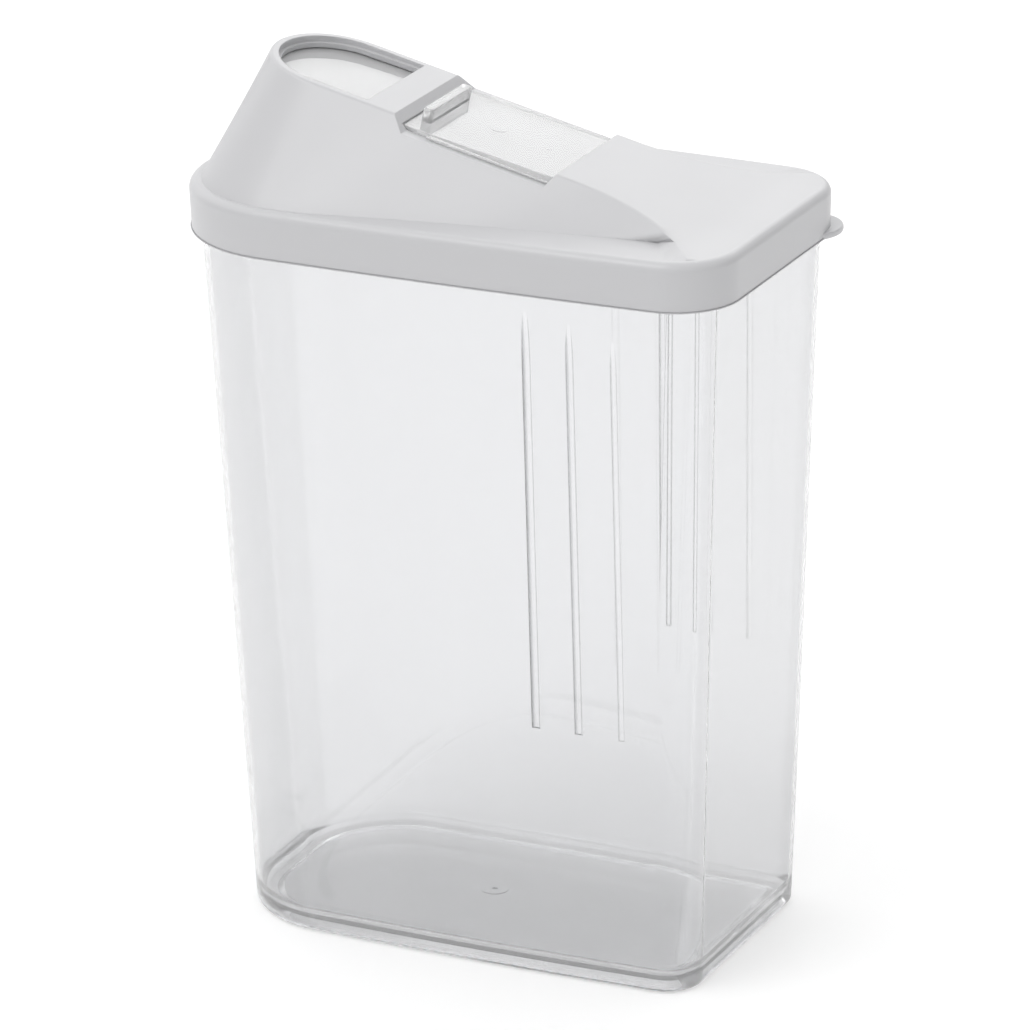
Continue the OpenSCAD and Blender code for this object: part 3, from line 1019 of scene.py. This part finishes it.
        tops, feet, roots = [], [], []
        for top, foot, out in used:
            share = w / depth_of(foot)
            point = inside(tuple(t + (f - t) * share for t, f in zip(top, foot)), out)
            tops.append(on_slope((point[0] - w * math.sin(S.tilt)) / math.cos(S.tilt), point[1], w))
            feet.append(inside(foot, out))
            roots.append((feet[-1][0], feet[-1][1], S.roof_z - 1))
        hollow = Solid.skin("hollow", [self.mirrored(r) for r in (roots, feet, tops)])
        end_u = S.hood_u + S.seat_t
        ledges = across("ledges", 2 * S.lid_b, [
            (-2 * S.lid_a, -S.ledge - S.seat_t), (end_u, -S.ledge - S.seat_t),
            (end_u, S.spout_r), (-2 * S.lid_a, S.spout_r)])
        channel = slab("channel", S.channel_r + S.seat_t, end_u, -S.seat_under, S.spout_r / 2)
        return hollow.combine("DIFFERENCE", [ledges, channel])

    def shutter_way(self) -> list[Solid]:
        """Builds the cutters for the space that the shutter slides in.

        Returns:
            The cutters.
        """
        rest = S.bridge_u + S.bridge_slope
        low, end = -S.seat_deep, S.way_end_u
        way = slab("way", S.channel_r, end, low, S.spout_r).combine("INTERSECT", [
            across("way_side", 2 * S.spout_r, [
                (S.tip_u - 10, low - 1), (end + 1, low - 1), (end + 1, -S.hood_t),
                (rest, -S.hood_t), (rest, S.plate_top(rest) + S.slide_fit),
                (S.tip_u - 10, S.plate_top(S.tip_u - 10) + S.slide_fit)])])
        start = S.hood_u + S.seat_t / 2
        drop = across("drop", S.channel_r - 0.5, [
            (start, low - 6), (end - 0.5, low - 6),
            (end - 0.5, -S.hood_t - 0.5), (start, -S.hood_t - 0.5)])
        start = S.hood_u - S.hood_slope - 1
        high = S.flange_t + 2 * S.slide_fit - S.ledge
        flange = across("flange_way", S.plate_r + S.flange_out + S.slide_fit, [
            (start, -S.ledge), (end, -S.ledge), (end, high), (start, high)])
        return [way, drop, flange]

    def bay(self) -> Solid:
        """Builds the cutter for the open bay between the bridge and the hood.

        Returns:
            The cutter.
        """
        return across("bay", S.lid_b + 5, [
            (S.bridge_u - S.bridge_slope / S.ledge, 1), (S.bridge_u + S.bridge_slope, -S.ledge),
            (S.hood_u - S.hood_slope, -S.ledge), (S.hood_u + S.hood_slope / S.ledge, 1)])

    def opening(self) -> list[Solid]:
        """Builds the cutters for the spout's opening, with the bead that meets the shutter.

        Returns:
            The cutters.
        """
        wide = S.spout_r - S.rim_w
        through = slab("opening", wide - S.bead_w, S.open_u - S.bead_w, -S.seat_deep, 1)
        upper = slab("opening_rim", wide, S.open_u, -S.seat_deep, 1).combine("INTERSECT", [
            across("opening_side", 2 * S.spout_r, [
                (S.tip_u - 5, S.plate_top(S.tip_u - 5) + S.bead_h),
                (S.open_u + 5, S.plate_top(S.open_u + 5) + S.bead_h),
                (S.open_u + 5, 5), (S.tip_u - 5, 5)])])
        return [through, upper]

    def cap(self) -> Solid:
        """Builds the outside of the skirt and deck.

        Returns:
            The solid.
        """
        z = S.skirt_z
        rings = [at_z(lid_plan(S.hem_r * s), z + S.hem_r * t) for s, t in reversed(round_steps(3))]
        rings += [at_z(lid_plan(S.deck_r * t), S.deck_z - S.deck_r * s) for s, t in round_steps(8)]
        return Solid.skin("grey_lid", rings)

    def tab(self) -> Solid:
        """Builds the lift tab with its rounded edge.

        Returns:
            The solid.
        """
        corner_r = S.mouth_back_r + S.skin
        reach = corner_r + S.tab_out - S.tab_r
        turn = math.radians(S.tab_turn)
        x = S.lid_a - corner_r + reach * math.cos(turn)
        y = S.lid_b - corner_r + S.mouth_bow / 4 + reach * math.sin(turn)
        rings = []
        for inset, z in ((0.6, 0), (0.15, 0.15), (0, 0.6), (0, 1.3), (0.2, 1.8), (0.7, 2.0)):
            circle = arc((x, y), S.tab_r - inset, 0, 355, 71)
            rings.append(at_z(circle, S.skirt_z + z * S.tab_t / 2))
        return Solid.skin("tab", rings)

    def inner_parts(self) -> list[Solid]:
        """Builds the plug wall with its seal bead, and the throat under the spout.

        Returns:
            The solids.
        """
        gap = S.wall_t + S.plug_fit
        low = S.roof_z - S.plug_h
        outer = Solid.skin("plug", [
            at_z(wall_plan(low, gap + 0.6), low), at_z(wall_plan(low, gap), low + 0.8),
            at_z(wall_plan(low, gap), low + 3.6), at_z(wall_plan(low, gap - 0.4), low + 4),
            at_z(wall_plan(low, gap - 0.4), low + 4.5), at_z(wall_plan(low, gap), low + 4.9),
            at_z(wall_plan(low, gap), S.roof_z + S.deck_t / 2)])
        inner = Solid.skin("plug_inside", [
            at_z(wall_plan(low, gap + S.plug_t), z) for z in (low - 1, S.roof_z + S.deck_t)])
        bottom = -S.seat_under - S.throat_deep
        throat = slab("throat", S.seat_r + S.seat_t, S.open_u, bottom, -S.seat_deep - S.seat_t / 2)
        trim = across("throat_trim", 2 * S.spout_r, [
            (S.tip_u - 5, bottom - 3), (S.open_u + 5, bottom - 3), (S.open_u + 5, -S.seat_under),
            (S.open_u, -S.seat_under), (S.tip_u, bottom), (S.tip_u - 5, bottom)])
        return [outer.combine("DIFFERENCE", [inner]), throat.combine("DIFFERENCE", [trim])]

    def build(self) -> None:
        """Builds the lid."""
        lid = self.cap().combine("UNION", [self.hump(), self.tab()])
        room = Solid.skin("skirt_room", [
            at_z(lid_plan(S.skirt_t), z) for z in (S.skirt_z - 1, S.roof_z)])
        lid.combine("DIFFERENCE", [room, self.hollow()])
        lid.combine("UNION", self.inner_parts())
        deep = -S.seat_under - S.throat_deep - 1
        seats = slab("seats", S.seat_r, S.hood_u + 2, deep, -S.seat_deep + 1)
        lid.combine("DIFFERENCE", [*self.shutter_way(), self.bay(), seats, *self.opening()])
        for i in range(5):
            lid.slice_at(self.crease_x + (S.lid_a - self.foot_in - self.crease_x) * i / 4)
        self.blend(lid.finish(self.material, Body.LID, Slot.GREY_LID, ["lid"], angle=24))

    def blend(self, lid: bpy.types.Object) -> None:
        """Shades the slope as running softly into the deck at the grip end.

        Args:
            lid: the finished lid.
        """
        mesh = lid.data
        first, last = self.crease_x, S.lid_a - self.foot_in
        meet = S.top_rise / math.tan(S.tilt)
        normals = [corner.vector.copy() for corner in mesh.corner_normals]
        for face in mesh.polygons:
            if face.normal.z < 0.95:
                continue
            for corner in face.loop_indices:
                place = mesh.vertices[mesh.loops[corner].vertex_index].co / MM
                on_deck = place.x > meet - 0.2 and abs(place.z - S.deck_z) < 0.03
                if (on_deck or abs(depth_of(place)) < 0.03) and first <= place.x + 0.01:
                    t = min((place.x - first) / (last - first), 1)
                    turn = S.tilt * (1 - t * t * (3 - 2 * t))
                    normals[corner] = Vector((math.sin(turn), 0, math.cos(turn)))
        mesh.normals_split_custom_set(normals)


@dataclass
class Shutter:
    """The clear shutter: plate, runners, side flanges and thumb ridge.

    Attributes:
        material: its finish.
        marks: place along the lid, place across and radius of each moulding mark.
    """

    material: bpy.types.Material
    marks: tuple[Point3, ...] = ((0.8, 0, 2.9), (18.8, -2.2, 0.8))

    def plate(self) -> Solid:
        """Builds the plate, which slopes a little less than the way it slides.

        Returns:
            The solid.
        """
        rings = []
        for inset, depth in ((0.35, 0), (0.1, 0.1), (0, 0.35), (0, S.plate_t - 0.3), (0.3, S.plate_t)):
            ring = front_outline(S.plate_r - inset, S.tail_u - inset)
            rings.append([on_slope(u, y, S.plate_top(u) - depth) for u, y in ring])
        return Solid.skin("clear_shutter", list(reversed(rings)))

    def build(self) -> None:
        """Builds the shutter."""
        parts = []
        start = S.spout_u + S.plate_r * 0.4
        bar_u = S.hood_u - S.travel - S.way_spare
        low, level = S.rest_gap - S.seat_deep, S.rest_gap - S.ledge
        for side in (-1, 1):
            y0, y1 = sorted((side * (S.plate_r - S.runner_w), side * S.plate_r))
            runner = across("runner", y1, [
                (start, low), (S.tail_u, low), (S.tail_u, S.plate_top(S.tail_u) - S.plate_t / 2),
                (start, S.plate_top(start) - S.plate_t / 2)], y0)
            y0, y1 = sorted((side * (S.plate_r - S.runner_w), side * (S.plate_r + S.flange_out)))
            bar = across("bar", y1, [
                (bar_u, level), (S.tail_u, level), (S.tail_u, level + S.flange_t),
                (bar_u, level + S.flange_t)], y0)
            parts += [runner, bar.soften(0.3, 3)]
        parts += [self.ridge(), *(self.mark(*place) for place in self.marks)]
        plate = self.plate().combine("UNION", parts)
        plate.finish(self.material, Body.SHUTTER, Slot.CLEAR_SHUTTER, ["shutter"], angle=30)

    def mark(self, x: float, y: float, r: float) -> Solid:
        """Builds a faint round moulding mark that stands on the plate.

        Args:
            x: its place along the lid.
            y: its place across.
            r: its radius.

        Returns:
            The solid.
        """
        middle = x / math.cos(S.tilt) - S.plate_top(0) * math.tan(S.tilt)
        rings = []
        for inset, rise in ((0, -0.3), (0, 0.03), (0.12, S.mark_rise)):
            circle = arc((middle, y), r - inset, 0, 350, 35)
            rings.append([on_slope(u, v, S.plate_top(u) + rise) for u, v in circle])
        return Solid.skin("mark", rings)

    def ridge(self) -> Solid:
        """Builds the thumb ridge with rounded corners.

        Returns:
            The solid.
        """
        start = S.bridge_u + S.bridge_slope * 0.7 + S.ridge_gap
        low = S.plate_top(start) - 0.6
        rings = []
        for inset, w in ((0, low), (0, S.ridge_up - 0.7), (0.1, S.ridge_up - 0.3),
                         (0.3, S.ridge_up - 0.1), (0.6, S.ridge_up)):
            r = S.ridge_r - inset
            u0, u1 = start + inset + r, start + S.ridge_t - inset - r
            y1 = S.ridge_w / 2 - inset - r
            ring = (arc((u1, -y1), r, -90, 0, 6) + arc((u1, y1), r, 0, 90, 6)
                    + arc((u0, y1), r, 90, 180, 6) + arc((u0, -y1), r, 180, 270, 6))
            rings.append([on_slope(u, y, w) for u, y in ring])
        return Solid.skin("ridge", rings)


def front_outline(r: float, end_u: float) -> list[Point2]:
    """Outline in u and y with a round front and straight sides.

    Args:
        r: half width.
        end_u: straight end.

    Returns:
        Its points, anticlockwise.
    """
    return [(end_u, -r), (end_u, r)] + arc((S.spout_u, 0), r, 90, 270, 64)


def slab(name: str, r: float, end_u: float, low: float, high: float) -> Solid:
    """Slab in the sloping frame with a round front.

    Args:
        name: object name.
        r: half width.
        end_u: straight end.
        low: lower level.
        high: upper level.

    Returns:
        The solid.
    """
    return Solid.prism(name, front_outline(r, end_u), on_slope, low, high)


def across(name: str, high: float, outline: Sequence[Point2], low: float | None = None) -> Solid:
    """Prism across the lid from an outline in u and w.

    Args:
        name: object name.
        high: its end on the +Y side.
        outline: anticlockwise points in u and w.
        low: its other end, when that is not the mirror image of the first.

    Returns:
        The solid.
    """
    last = high if low is None else -low
    return Solid.prism(name, outline, lambda u, w, y: on_slope(u, -y, w), -high, last)


@dataclass(frozen=True)
class Camera:
    """The photo's camera, found by least squares."""

    azimuth: float = 26.27
    elevation: float = 20.52
    roll: float = -1.14
    distance: float = 2089.2
    lens: float = 235.7
    aim_right: float = 3.36
    aim_up: float = 131.1

    def build(self) -> None:
        """Adds the camera to the scene."""
        az, el, roll = (math.radians(v) for v in (self.azimuth, self.elevation, self.roll))
        back = Vector((math.sin(az) * math.cos(el), -math.cos(az) * math.cos(el), math.sin(el)))
        right = Vector((math.cos(az), math.sin(az), 0))
        up = back.cross(right)
        turned_right = right * math.cos(roll) + up * math.sin(roll)
        turned_up = up * math.cos(roll) - right * math.sin(roll)
        data = bpy.data.cameras.new("photo_camera")
        data.lens = self.lens
        data.sensor_width = 36
        data.clip_end = 50
        camera = bpy.data.objects.new("photo_camera", data)
        bpy.context.scene.collection.objects.link(camera)
        turn = Matrix((turned_right, turned_up, back)).transposed().to_4x4()
        aim = right * self.aim_right + Vector((0, 0, self.aim_up))
        camera.matrix_world = Matrix.Translation((aim + back * self.distance) * MM) @ turn
        bpy.context.scene.camera = camera


@dataclass(frozen=True)
class Light:
    """One soft studio light."""

    name: str
    place: Point3
    size: float
    power: float
    aim: Point3 = (0, 0, 0.15)

    def build(self) -> None:
        """Adds the light to the scene."""
        data = bpy.data.lights.new(self.name, "AREA")
        data.shape = "DISK"
        data.size = self.size
        data.energy = self.power
        lamp = bpy.data.objects.new(self.name, data)
        bpy.context.scene.collection.objects.link(lamp)
        lamp.location = self.place
        lamp.rotation_euler = (Vector(self.place) - Vector(self.aim)).to_track_quat("Z", "Y").to_euler()


@dataclass(frozen=True)
class Studio:
    """A pale light table, a pale world and two soft lights.

    Attributes:
        table_tone: grey of the table.
        table_glow: how strongly the table glows.
        sky: strength of the world.
        low: share of it that comes from low at the grip end.
        card: share of it that two darker zones beside the camera's view keep; they draw clear edges.
    """

    table_tone: Point3 = (0.6, 0.6, 0.6)
    table_glow: float = 0.43
    sky: float = 1.2
    low: float = 0.45
    card: float = 0.3

    def add_table(self) -> None:
        """Adds the table."""
        bpy.ops.mesh.primitive_plane_add(size=12, location=(0, 0, -0.0001))
        floor = bpy.context.object
        floor.name = "studio_floor"
        pale = bpy.data.materials.new("studio_white")
        pale.use_nodes = True
        set_inputs(pale.node_tree.nodes["Principled BSDF"], {
            "Base Color": (*self.table_tone, 1), "Roughness": 0.9,
            "Emission Color": (1, 1, 1, 1), "Emission Strength": self.table_glow})
        floor.data.materials.append(pale)
        floor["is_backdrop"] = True

    def add_world(self) -> None:
        """Adds the world."""
        world = bpy.data.worlds.new("studio_world")
        world.use_nodes = True
        tree = world.node_tree
        view = add_node(tree, "ShaderNodeTexCoord", output="Generated")
        lean = add_node(tree, "ShaderNodeVectorMath", {0: view, 1: (-0.6, 0, 0.8)},
                        output="Value", operation="DOT_PRODUCT")
        level = add_node(tree, "ShaderNodeMapRange", {
            "Value": lean, "From Min": -0.6, "From Max": 0.8, "To Min": self.low})
        aside = add_node(tree, "ShaderNodeVectorMath", {0: view, 1: (0.897, 0.443, 0)},
                         output="Value", operation="DOT_PRODUCT")
        side = add_node(tree, "ShaderNodeMath", {0: aside}, operation="ABSOLUTE")
        card = add_node(tree, "ShaderNodeMapRange", {
            "Value": side, "From Min": 0.72, "From Max": 0.92, "To Min": 1, "To Max": self.card},
            interpolation_type="SMOOTHSTEP")
        tone = add_node(tree, "ShaderNodeMath", {0: level, 1: card}, operation="MULTIPLY")
        set_inputs(tree.nodes["Background"], {"Color": tone, "Strength": self.sky})
        bpy.context.scene.world = world

    def build(self) -> None:
        """Adds the studio to the scene."""
        self.add_table()
        self.add_world()
        bpy.context.scene.view_settings.view_transform = "Standard"
        Light("key", (-0.6, -0.9, 2.2), size=1.2, power=11).build()
        Light("back", (-0.3, 1.8, 1.4), size=1.4, power=5).build()


def note_size(sizes: dict[str, list[list[float]]], key: str) -> None:
    """Args:
        sizes: what has been noted so far.
        key: name of this note.
    """
    sizes[key] = [[round(v, 6) for v in corner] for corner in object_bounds()]
    LOG.info("%s: %s", key, sizes[key])


def main() -> None:
    """Builds the three pieces and the studio, and notes the bounds before and after."""
    sizes: dict[str, list[list[float]]] = {}
    note_size(sizes, "cad")
    surface = moulded_surface()
    Container(CLEAR.build(surface), paint_groove_light(GROOVE_PAINTED_SHADE.build(surface))).build()
    Lid(GREY.build(surface)).build()
    Shutter(CLEAR_THIN.build(surface)).build()
    Studio().build()
    Camera().build()
    note_size(sizes, "visual")


if __name__ == "__main__":
    main()
